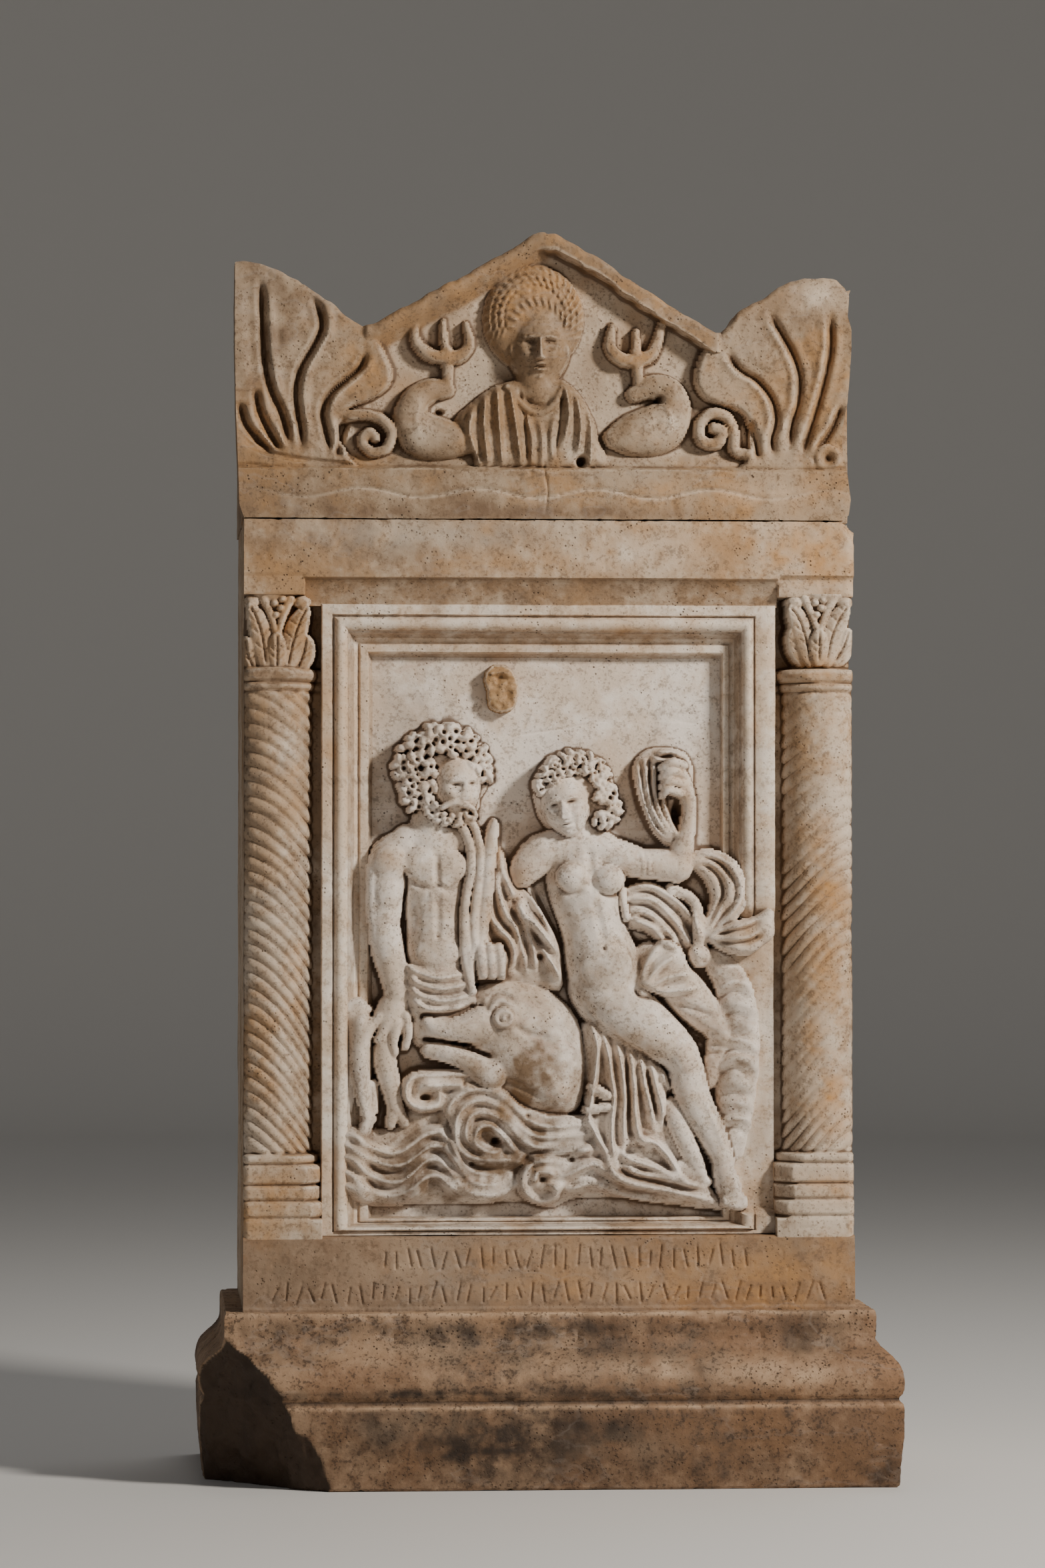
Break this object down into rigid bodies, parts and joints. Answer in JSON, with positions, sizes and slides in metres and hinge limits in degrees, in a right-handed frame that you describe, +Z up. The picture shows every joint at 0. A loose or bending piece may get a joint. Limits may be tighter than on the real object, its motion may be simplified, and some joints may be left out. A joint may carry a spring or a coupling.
{
  "type": "funerary altar",
  "caption": "Carved marble funerary ash altar: moulded base, twisted corner columns, framed sea relief, hollow top and a gabled lid that lifts off.",
  "frame": {"origin": "under the middle of the base, on the ground", "axes": "+Z up, the figured front faces -Y, +X to the right as seen from the front"},
  "size_m": [0.526, 0.273, 0.9395],
  "materials": {
    "altar_marble": "worn marble, cream to brown patina",
    "lid_marble": "worn marble, ochre patina"
  },
  "bodies": {
    "root": {"altar": "altar_marble", "lid": "lid_marble"}
  },
  "joints": []
}
